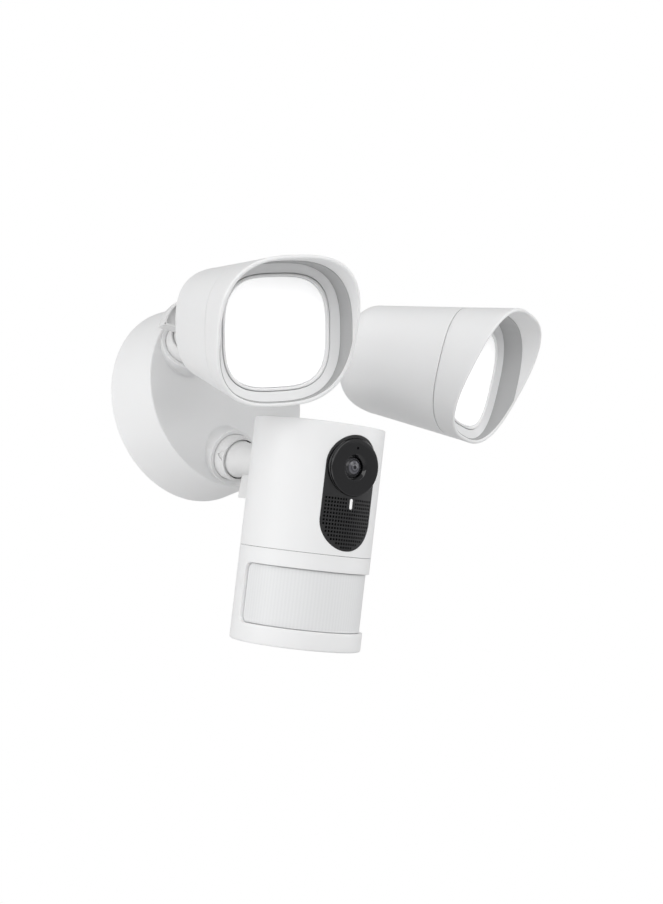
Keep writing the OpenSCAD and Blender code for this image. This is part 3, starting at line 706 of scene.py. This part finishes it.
def stem_profile(reach):
    """Ball, concave throat, neck, shadow groove and turning pin, with a bore for the wires."""
    shoulder = reach - 7.15
    throat_z = math.sqrt(BALL_R ** 2 - THROAT_R ** 2)
    ball = arc(0, 0, BALL_R, -74, math.degrees(math.asin(throat_z / BALL_R)), 26)
    throat = []
    for k in range(1, 9):
        u = k / 8
        throat.append((NECK_R + (THROAT_R - NECK_R) * (1 - u) ** 2, throat_z + u * THROAT_L))
    neck = rounded([(NECK_R, throat_z + THROAT_L, 0), (NECK_R, shoulder - 0.1, 0.6),
                    (PIN_R + 0.2, shoulder, 0), (PIN_R, shoulder + 0.4, 0),
                    (PIN_R, reach + 12, 0.4), (BORE_R, reach + 12, 0)], 4)
    return ball + throat + neck + [(BORE_R, -11.7)]


def sweep(loop, start, end, steps):
    """Capped solid: a closed (radius, height) loop carried round local Z, in degrees."""
    rings = []
    for k in range(steps + 1):
        t = math.radians(start + (end - start) * k / steps)
        rings.append([(r * math.cos(t), r * math.sin(t), z) for r, z in loop])
    return loft(rings)


def stem_wing(middle):
    """Hollow grip on one side of the neck, open towards the head."""
    low, high, wall = WING_Z, WING_Z + WING_L, 1.6
    start, end = middle - WING_HALF_A, middle + WING_HALF_A
    trough = rounded([(NECK_R - 0.5, low + wall, 0), (NECK_R - 0.5, low, 0), (WING_R, low, 0.9),
                      (WING_R, high, 0.5), (WING_R - wall, high, 0.3), (WING_R - wall, low + wall, 0.6),
                      (NECK_R - 0.5, low + wall, 0)], 4)[:-1]
    cheek = rounded([(NECK_R - 0.5, low, 0), (WING_R, low, 0.9), (WING_R, high, 0.5),
                     (NECK_R - 0.5, high, 0)], 4)
    return joined(sweep(trough, start + 0.4, end - 0.4, 30), sweep(cheek, start, start + 3.8, 3),
                  sweep(cheek, end - 3.8, end, 3))


def build_stem(side, reach, wing_a):
    body = joined(revolve(stem_profile(reach)), stem_wing(wing_a))
    piece(side + "_stem_body", body, ball_place(side), side + "_stem",
          "joint_plastic", [side + "_ball_stem"])


# ---------- light heads ----------

def head_half(z):
    return HEAD_FRONT_HALF + TAPER * (z - HEAD_PART_Z)


def rear_half(t, inset=0.0):
    return HEAD_REAR_HALF - HEAD_ROUND + (HEAD_ROUND - inset) * math.sin(t)


def rear_shell():
    """Rear housing: rounded closed end, straight taper, rolled parting edge and tongue."""
    turns = [math.radians(90 * k / 16) for k in range(17)]
    rings = [head_ring(1.0, 0), head_ring(8.0, 0)]
    rings += [head_ring(rear_half(t), HEAD_ROUND * (1 - math.cos(t))) for t in turns]
    z_end = HEAD_PART_Z - HEAD_SEAM
    for k in range(1, 10):
        z = HEAD_ROUND + (z_end - 0.2 - HEAD_ROUND) * k / 9
        rings.append(head_ring(head_half(z), z))
    rings.append(head_ring(head_half(z_end) - 0.12, z_end))
    tongue = head_half(z_end) - HOOD_WALL - 0.15
    rings.append(head_ring(tongue, z_end))
    rings.append(head_ring(tongue, z_end + 3))
    rings.append(head_ring(tongue - 1.4, z_end + 3))
    rings.append(head_ring(head_half(z_end) - 4, z_end - 1))
    for t in turns[::-2]:
        rings.append(head_ring(rear_half(t, 2.4), HEAD_ROUND - (HEAD_ROUND - 2.4) * math.cos(t)))
    return loft(rings)


def rear_boss():
    """Round boss, on the stem's axis, that the stem turns in."""
    profile = rounded([(PIN_R + 0.05, LIGHT_STEM - 7, 0.0), (HEAD_BOSS_R, LIGHT_STEM - 7, 1.2),
                       (HEAD_BOSS_R, LIGHT_STEM + 8, 0.4), (PIN_R + 0.05, LIGHT_STEM + 8, 0)], 5)
    return revolve(profile)


def rear_skin(p):
    """Negative inside the rounded rear of a head."""
    z = min(max(p.z, 0.0), HEAD_ROUND)
    t = math.acos(max(-1, min(1, 1 - z / HEAD_ROUND)))
    reach = (abs(p.x) ** HEAD_N + abs(p.y) ** HEAD_N) ** (1 / HEAD_N)
    if p.z < 0:
        return -p.z
    return reach - rear_half(t)


def build_rear_housing(side):
    place = head_place(side)
    stem = relative(ball_place(side), place)
    flipped = stem @ Matrix.Translation((0, 0, LIGHT_STEM)) @ Matrix.Rotation(math.pi, 4, "X")
    skirt = fillet_skirt(flipped, HEAD_BOSS_R, 2.6, rear_skin, 6.2, -14)
    shell = joined(rear_shell(), moved(rear_boss(), stem), skirt)
    piece(side + "_rear_shell", shell, place, side + "_light", "white_plastic",
          [side + "_rear_housing"])


def build_hood(side):
    """Slanted hood: starts at the parting groove, with a thin rounded lip."""
    z0 = HEAD_PART_Z + HEAD_SEAM
    half0, rim = head_half(z0), head_half(HOOD_LOW_Z)
    rings = [head_ring(half0 - 0.12, z0), head_ring(half0 + 0.02, z0 + 0.2)]
    for k in range(1, 12):
        u = k / 12
        z = z0 + 0.2 + (HOOD_LOW_Z - 1.4 - z0) * u
        rings.append(head_ring(half0 + (rim - half0) * u, z, lean=u))
    lip_mid = rim - HOOD_WALL / 2
    for x, z in arc(0, 0, HOOD_WALL / 2, 0, 180, 10):
        rings.append(head_ring(lip_mid + x, HOOD_LOW_Z - HOOD_WALL / 2 + z, lean=1.0))
    for k in range(11, 0, -1):
        u = k / 12
        inner0 = head_half(z0 + 4) - HOOD_WALL
        rings.append(head_ring(inner0 + (rim - HOOD_WALL - inner0) * u,
                               z0 + 4 + (HOOD_LOW_Z - 1.2 - z0 - 4) * u, lean=u))
    rings.append(head_ring(half0 - HOOD_WALL, z0 + 4))
    rings.append(head_ring(half0 - HOOD_WALL, z0))
    piece(side + "_hood_shell", loft(rings, closed=True), head_place(side), side + "_light",
          "white_plastic", [side + "_front_hood"])


def mixed_ring(half, z, blend):
    """Ring between the lens's section and the head's section."""
    return head_ring(half, z, LENS_N + (HEAD_N - LENS_N) * blend)


def sleeve_ring(low, u, inset):
    """Ring on the hood's inner wall, u of the way from height low to the sleeve's end."""
    ring = []
    for x, y in superellipse(HEAD_N):
        rim_z = HOOD_LOW_Z + (HOOD_HIGH_Z - HOOD_LOW_Z) * (y + 1) / 2
        z = low + (min(SLEEVE_TOP_Z, rim_z - 0.9) - low) * u
        half = head_half(z) - HOOD_WALL - inset
        ring.append((half * x, half * y, z))
    return ring


def build_bezel(side):
    """Light grey funnel from the lens frame out to the sleeve."""
    top, inner = LENS_FRONT_Z, LENS_HALF + 2.35
    wall_z = top + 2.15
    fit = head_half(wall_z) - HOOD_WALL - 0.35
    rings = [mixed_ring(LENS_HALF - 2.4, top - 2.8, 0), mixed_ring(inner, top - 2.8, 0)]
    for k in range(9):
        u = k / 8
        rings.append(mixed_ring(inner + (fit - 0.1 - inner) * u, top + (wall_z - top) * u ** 1.15, u))
    rings += [mixed_ring(fit - 0.1, top - 3.9, 1), mixed_ring(LENS_HALF - 2.4, top - 3.9, 0)]
    piece(side + "_lens_surround", loft(rings, closed=True), head_place(side), side + "_light",
          "bezel_plastic", [side + "_bezel"])


def build_sleeve(side):
    """Grey matt sleeve that lines the hood from the funnel to a plane square to the lens, darker than the funnel
    partly as painted shade.
    """
    low = LENS_FRONT_Z + 1.2
    rings = [sleeve_ring(low, k / 6, 0.35) for k in range(7)]
    rings += [sleeve_ring(low, 1, -0.3), sleeve_ring(low, 0, -0.3)]
    piece(side + "_hood_sleeve", loft(rings, closed=True), head_place(side), side + "_light",
          "bezel_plastic", [side + "_bezel"], "sleeve_grey_and_painted_shade")


def build_lens_frame(side):
    """White raised frame between the lens and the funnel."""
    low, high = LENS_FRONT_Z - 2.6, LENS_FRONT_Z + 0.1
    inner, outer = LENS_HALF + 0.45, LENS_HALF + 1.95
    rings = [head_ring(inner, low, LENS_N), head_ring(inner, high, LENS_N)]
    middle, half = (inner + outer) / 2, (outer - inner) / 2
    rings += [head_ring(middle + half * x, high + z * 0.55, LENS_N) for x, z in arc(0, 0, 1, 170, 10, 8)]
    rings += [head_ring(outer, high, LENS_N), head_ring(outer, low, LENS_N)]
    piece(side + "_lens_frame", loft(rings, closed=True), head_place(side), side + "_light",
          "white_plastic", [side + "_bezel"])


def build_diffuser(side):
    """Opal lens with a rounded edge and a very slight crown."""
    top, low = LENS_FRONT_Z, LENS_FRONT_Z - 2.45
    rings = [head_ring(1.0, low, LENS_N), head_ring(LENS_HALF, low, LENS_N)]
    for x, z in arc(0, 0, 0.9, 0, 90, 6):
        rings.append(head_ring(LENS_HALF - 0.9 + x, top - 1.3 + z, LENS_N))
    for k in range(1, 12):
        half = (LENS_HALF - 0.9) * (1 - k / 12)
        rings.append(head_ring(half, top - 0.4 + 0.4 * (1 - (half / LENS_HALF) ** 2), LENS_N))
    rings.append(head_ring(1.0, top, LENS_N))
    piece(side + "_opal_lens", loft(rings), head_place(side), side + "_light", "diffuser",
          [side + "_diffuser_lens"])


# ---------- camera module ----------

def wrap(s, z, depth, flat_view):
    """Point on the module's skin. In flat view s is seen from the front, else it runs round the skin."""
    angle = math.asin(max(-1, min(1, s / MOD_R))) if flat_view else s / MOD_R
    r = MOD_R - depth
    return (r * math.sin(angle), -r * math.cos(angle), z)


def inside_loop(loop, p):
    x, y = p
    odd = False
    for (ax, ay), (bx, by) in zip(loop, loop[1:] + loop[:1]):
        if (ay > y) != (by > y) and x < (bx - ax) * (y - ay) / (by - ay) + ax:
            odd = not odd
    return odd


def flat_patch(outline, holes, spacing):
    """Triangles that fill an outline with holes, with inner points on a grid."""
    verts = [Vector(p) for p in outline]
    edges = [(i, (i + 1) % len(outline)) for i in range(len(outline))]
    for hole in holes:
        first = len(verts)
        verts += [Vector(p) for p in hole]
        edges += [(first + i, first + (i + 1) % len(hole)) for i in range(len(hole))]
    xs = [p[0] for p in outline]
    ys = [p[1] for p in outline]
    fixed = np.array([tuple(v) for v in verts])
    for gx in np.arange(min(xs) + spacing[0] / 2, max(xs), spacing[0]):
        for gy in np.arange(min(ys) + spacing[1] / 2, max(ys), spacing[1]):
            near = np.hypot(*(fixed - (gx, gy)).T).min() < 0.3 * min(spacing)
            if not near and inside_loop(outline, (gx, gy)):
                if not any(inside_loop(h, (gx, gy)) for h in holes):
                    verts.append(Vector((gx, gy)))
    made, _, faces, *_ = delaunay_2d_cdt(verts, edges, [], 0, 1e-6)
    kept = []
    for face in faces:
        mid = sum((made[i] for i in face), Vector((0, 0))) / len(face)
        if inside_loop(outline, mid) and not any(inside_loop(h, mid) for h in holes):
            kept.append(tuple(face))
    return [tuple(v) for v in made], kept


def skinned_patch(outline, holes, spacing, front, back, flat_view):
    """Solid patch on the module's skin, from depth front to depth back."""
    flat, faces = flat_patch(outline, holes, spacing)
    top = [wrap(x, z, front, flat_view) for x, z in flat]
    low = [wrap(x, z, back, flat_view) for x, z in flat]
    parts = [(top, faces), (low, [f[::-1] for f in faces])]
    for loop in [outline] + list(holes):
        rows = [[wrap(x, z, d, flat_view) for x, z in loop] for d in (front, back)]
        parts.append(([p for row in rows for p in row], strip_faces(len(loop), 2)))
    return joined(*parts)


def stadium(grow, steps=28):
    """Outline of the face inlay, seen from the front."""
    r = INLAY_HALF_W + grow
    low, high = INLAY_LOW + INLAY_HALF_W, INLAY_HIGH - INLAY_HALF_W
    sides = [(-r, high - (high - low) * k / 14) for k in range(1, 14)]
    other = [(r, low + (high - low) * k / 14) for k in range(1, 14)]
    return arc(0, high, r, 0, 180, steps) + sides + arc(0, low, r, 180, 360, steps) + other


def grille_holes():
    """Small upright slots under the lens disc, clear of the disc and the status light."""
    holes = []
    for i in range(GRILLE_COLS):
        for j in range(GRILLE_ROWS):
            x, z = (i - (GRILLE_COLS - 1) / 2) * GRILLE_PITCH_X, GRILLE_LOW + j * GRILLE_PITCH_Z
            drop = max(0, INLAY_LOW + INLAY_HALF_W - z)
            on_panel = math.hypot(x, drop) < INLAY_HALF_W - GRILLE_MARGIN
            off_disc = math.hypot(x, z - CAMERA_LENS_H) > DISC_R + GRILLE_DISC_GAP
            off_light = abs(x) > GRILLE_LIGHT_W or z < CAMERA_LENS_H - DISC_R - GRILLE_LIGHT_L
            if on_panel and off_disc and off_light:
                dx, dz = GRILLE_SLOT_W / 2, GRILLE_SLOT_H / 2
                holes.append([(x - dx, z - dz), (x + dx, z - dz), (x + dx, z + dz), (x - dx, z + dz)])
    return holes


def circle_loop(cx, cy, r, steps=64):
    return arc(cx, cy, r, 0, 360, steps)[:-1]


def build_face_inlay():
    """Black pill panel on the module's skin, with open speaker slots."""
    side, low, high = STATUS_R + 0.05, STATUS_TOP - STATUS_L - 0.05, STATUS_TOP + 0.05
    light = [(-side, low), (side, low), (side, high), (-side, high)]
    holes = grille_holes() + [circle_loop(0, CAMERA_LENS_H, DISC_R + 0.25), light]
    body = skinned_patch(stadium(-0.35), holes, (3.1, 3.1), -INLAY_PROUD, 1.6, True)
    rim_rows = [(-0.35, -INLAY_PROUD), (-0.15, -0.2), (-0.02, -0.02), (0, 0.3), (0, 1.6), (-0.35, 1.6)]
    rows = [[wrap(x, z, depth, True) for x, z in stadium(grow)] for grow, depth in rim_rows]
    rim = loft(rows, closed=True)
    piece("face_panel", joined(body, rim), module_place(), "camera_module", "black_plastic",
          ["face_inlay"])


def build_upper_housing():
    """Upper casing: closed drum with soft edges, cut away behind the face panel."""
    low = MOD_PART_H + MOD_SEAM
    flat_r = MOD_R - MOD_EDGE
    seam = [(MOD_R - MOD_WALL, low), (MOD_R - 0.15, low), (MOD_R, low + 0.15)]
    wall = [(MOD_R, low + (MOD_H - 2 - low) * k / 10) for k in range(1, 10)]
    edge = arc(flat_r, MOD_H - MOD_EDGE, MOD_EDGE, 0, 90, 8)
    lid = [(flat_r * (1 - k / 8), MOD_H) for k in range(1, 9)]
    inside = [(0, MOD_H - MOD_WALL), (MOD_R - MOD_WALL, MOD_H - MOD_WALL)]
    shell = piece("upper_casing", revolve(seam + wall + edge + lid + inside, 240), module_place(),
                  "camera_module", "white_plastic", ["upper_housing"])
    rings = [[(x, y, z) for x, z in stadium(0.15)] for y in (-60.0, -10.0)]
    cut(shell, loft(rings), module_place())


def window_outline(grow, steps=8):
    """Rounded outline of the motion window, unrolled."""
    half = math.radians(WINDOW_HALF_A) * MOD_R + grow
    low, high, r = WINDOW_LOW - grow, WINDOW_HIGH + grow, WINDOW_CORNER + grow
    quarters = ((1, high - r, 0), (-1, high - r, 90), (-1, low + r, 180), (1, low + r, 270))
    corners = [arc(sx * (half - r), cy, r, start, start + 90, steps) for sx, cy, start in quarters]
    out = []
    for k, corner in enumerate(corners):
        (ax, ay), (bx, by) = corner[-1], corners[(k + 1) % 4][0]
        count = 10 if k % 2 else 60
        out += corner
        out += [(ax + (bx - ax) * i / count, ay + (by - ay) * i / count) for i in range(1, count)]
    return out


def build_lower_housing():
    """Lower casing: bowl with a rounded foot, and a wide window with a rolled edge."""
    top = MOD_PART_H - MOD_SEAM
    half_turn = math.pi * MOD_R * 0.999999
    count = 180
    band_low, band_high = 4.0, top - 0.6
    around = [(-half_turn + 2 * half_turn * k / count, band_low) for k in range(count)]
    back = [(half_turn - 2 * half_turn * k / count, band_high) for k in range(count)]
    ends = [(half_turn, band_low + (band_high - band_low) * k / 20) for k in range(20)]
    starts = [(-half_turn, band_high - (band_high - band_low) * k / 20) for k in range(20)]
    outline = around + ends + back + starts
    flat, faces = flat_patch(outline, [window_outline(0.2)], (2.2, 2.6))
    wall = ([wrap(x, z, 0, False) for x, z in flat], faces)
    rolls = [(0.2, 0), (0.06, 0.06), (0, 0.2), (0, MOD_WALL)]
    rows = [[wrap(x, z, depth, False) for x, z in window_outline(grow)] for grow, depth in rolls]
    lip = ([p for row in rows for p in row], strip_faces(len(rows[0]), len(rows)))
    flat_r = MOD_R - MOD_FOOT
    foot = arc(flat_r, MOD_FOOT, MOD_FOOT, -90, 0, 8)
    lower = [(0, 0)] + [(flat_r * k / 6, 0) for k in range(1, 6)] + foot + [(MOD_R, band_low)]
    upper = [(MOD_R, band_high), (MOD_R, top - 0.15), (MOD_R - 0.15, top),
             (MOD_R - MOD_WALL, top), (MOD_R - MOD_WALL, top - 6)]
    verts, made = revolve(upper, count)
    open_rows = [revolve(lower, count), (verts, made[:-count])]
    part = joined(wall, lip, *open_rows)
    piece("lower_casing", part, module_place(), "camera_module", "white_plastic",
          ["lower_housing"])


def build_pir_window():
    """Curved motion window, set back in its opening with a fine gap round it, and its carrier."""
    film = skinned_patch(window_outline(-FILM_GAP), [], (2.2, 2.6), FILM_DEPTH, 4.4, False)
    r_out, r_in = MOD_R - 4.2, MOD_R - 4.6
    half = math.radians(WINDOW_HALF_A + 4)
    low, high = WINDOW_LOW - 3, WINDOW_HIGH + 3
    rings = []
    for k in range(121):
        a = -half + 2 * half * k / 120
        corners = [(r_in, low), (r_out, low), (r_out, high), (r_in, high)]
        rings.append([(r * math.sin(a), -r * math.cos(a), z) for r, z in corners])
    piece("motion_window", joined(film, loft(rings)), module_place(), "camera_module", "pir_film",
          ["pir_window"])


def front_turned(profile):
    """A profile turned about the lens's axis: (radius, distance in front of the module's axis)."""
    turn = Matrix.Translation((0, 0, CAMERA_LENS_H)) @ Matrix.Rotation(math.pi / 2, 4, "X")
    return moved(revolve(profile), turn)


def build_lens_disc():
    """Glossy disc: stepped rim, flat face, and a coned recess round the lens."""
    front = DISC_FRONT
    profile = rounded([(8.2, DISC_BACK, 0), (DISC_R, DISC_BACK, 0.2), (DISC_R, front - 2.3, 0.25),
                       (DISC_R - 0.6, front - 2.1, 0.1), (DISC_R - 0.6, front - 1.6, 0.1),
                       (DISC_R, front - 1.4, 0.25), (DISC_R, front, 0.7), (7.6, front, 0.25),
                       (7.1, front - 0.5, 0.15), (6.2, front - 1.5, 0.1), (6.2, front - 2.4, 0),
                       (8.2, front - 2.4, 0)], 5)
    disc = piece("gloss_disc", front_turned(profile), module_place(), "camera_module", "black_gloss",
                 ["lens_disc"])
    at = Matrix.Translation((0, -front, CAMERA_LENS_H + DISC_R - 5.4))
    hole = revolve([(0, -2), (0.75, -2), (0.75, 4), (0, 4)], 24)
    cut(disc, moved(hole, at @ Matrix.Rotation(math.pi / 2, 4, "X")), module_place())


def build_lens_glass():
    """Domed front element."""
    edge, dome = 5.6, 8.0
    rise = [(edge * k / 10, math.sqrt(dome ** 2 - (edge * k / 10) ** 2)) for k in range(10, -1, -1)]
    sink = math.sqrt(dome ** 2 - edge ** 2)
    base = DISC_FRONT - 4.4
    profile = [(0, base), (edge, base)] + [(r, base + 1.4 + z - sink) for r, z in rise]
    piece("front_element", front_turned(profile), module_place(), "camera_module", "lens_glass",
          ["lens_glass"])


def build_status_light():
    """Upright light pipe with rounded ends below the lens disc."""
    high, low = STATUS_TOP - STATUS_R, STATUS_TOP - STATUS_L + STATUS_R
    loop = arc(0, high, STATUS_R, 0, 180, 12) + arc(0, low, STATUS_R, 180, 360, 12)
    body = skinned_patch(loop, [], (0.6, 0.9), -INLAY_PROUD - 0.05, 3.0, True)
    piece("status_pipe", body, module_place(), "camera_module", "light_pipe",
          ["status_light"])


# ---------- stage ----------

def make_floor():
    """Wide pale floor, well below the object."""
    size, depth = 24.0, -1.1
    mesh = bpy.data.meshes.new("floor")
    corners = ((-size, -size), (size, -size), (size, size), (-size, size))
    mesh.from_pydata([(x, y, depth) for x, y in corners], [], [(0, 1, 2, 3)])
    mat, tree, bsdf, coords = shader("floor_paint", (0.9, 0.9, 0.9), 0.8)
    tree.links.new(blend_colours(tree, noise(tree, coords, 3, 2), (0.88, 0.88, 0.88), (0.92, 0.92, 0.92)),
                   bsdf.inputs["Base Color"])
    mesh.materials.append(mat)
    floor = bpy.data.objects.new("floor", mesh)
    bpy.context.scene.collection.objects.link(floor)


def make_light(name, place, aim, power):
    data = bpy.data.lights.new(name, "AREA")
    data.energy = power
    data.shape = "DISK"
    data.size = LIGHT_SIZE
    lamp = bpy.data.objects.new(name, data)
    lamp.location = place
    lamp.rotation_euler = (Vector(aim) - Vector(place)).to_track_quat("-Z", "Y").to_euler()
    bpy.context.scene.collection.objects.link(lamp)


def make_world():
    """White backdrop whose light is stronger from below, as off a pale floor."""
    world = bpy.data.worlds.new("studio")
    bpy.context.scene.world = world
    world.use_nodes = True
    tree = world.node_tree
    out = tree.nodes["World Output"]
    seen = tree.nodes["Background"]
    seen.inputs["Color"].default_value = (1, 1, 1, 1)
    seen.inputs["Strength"].default_value = 1.0
    lit = tree.nodes.new("ShaderNodeBackground")
    coords = tree.nodes.new("ShaderNodeTexCoord")
    split = tree.nodes.new("ShaderNodeSeparateXYZ")
    tree.links.new(coords.outputs["Generated"], split.inputs["Vector"])
    ramp = add_node(tree, "ShaderNodeMapRange", From_Min=-1, From_Max=1, To_Min=1.12, To_Max=0.5)
    tree.links.new(split.outputs["Z"], ramp.inputs["Value"])
    tree.links.new(ramp.outputs["Result"], lit.inputs["Strength"])
    rays = tree.nodes.new("ShaderNodeLightPath")
    mix = tree.nodes.new("ShaderNodeMixShader")
    tree.links.new(rays.outputs["Is Camera Ray"], mix.inputs["Fac"])
    tree.links.new(lit.outputs["Background"], mix.inputs[1])
    tree.links.new(seen.outputs["Background"], mix.inputs[2])
    tree.links.new(mix.outputs["Shader"], out.inputs["Surface"])


def make_camera():
    """Camera below and to the left of the object, looking up at it."""
    azimuth, elevation, roll = math.radians(-41.6), math.radians(-15.41), math.radians(0.51)
    distance, target = 1.0728, Vector((0.0696, -0.06, -0.0305))
    back = Vector((math.sin(azimuth) * math.cos(elevation), -math.cos(azimuth) * math.cos(elevation),
                   math.sin(elevation)))
    right = (-back).cross(Vector((0, 0, 1))).normalized()
    up = right.cross(-back)
    turned_right = right * math.cos(roll) + up * math.sin(roll)
    turned_up = up * math.cos(roll) - right * math.sin(roll)
    data = bpy.data.cameras.new("camera")
    data.sensor_fit = "VERTICAL"
    data.sensor_height = 36
    data.lens = 65.5
    cam = bpy.data.objects.new("camera", data)
    m = Matrix((turned_right, turned_up, back)).transposed().to_4x4()
    m.translation = target + back * distance
    cam.matrix_world = m
    bpy.context.scene.collection.objects.link(cam)
    bpy.context.scene.camera = cam


make_camera()
make_world()
make_floor()
for light in LIGHTS:
    make_light(*light)

dress_cad_nodes()
build_base()
for side, pocket in (("left", 135), ("right", 45), ("camera", 181)):
    build_collar(side, pocket)
for side, reach, wing_a in (("left", LIGHT_STEM, 148), ("right", LIGHT_STEM, 32),
                            ("camera", MOD_REACH - MOD_R, 295)):
    build_stem(side, reach, wing_a)
for side in ("left", "right"):
    build_rear_housing(side)
    build_hood(side)
    build_bezel(side)
    build_sleeve(side)
    build_lens_frame(side)
    build_diffuser(side)
build_upper_housing()
build_lower_housing()
build_pir_window()
build_face_inlay()
build_lens_disc()
build_lens_glass()
build_status_light()

bpy.context.scene.view_settings.view_transform = "Standard"
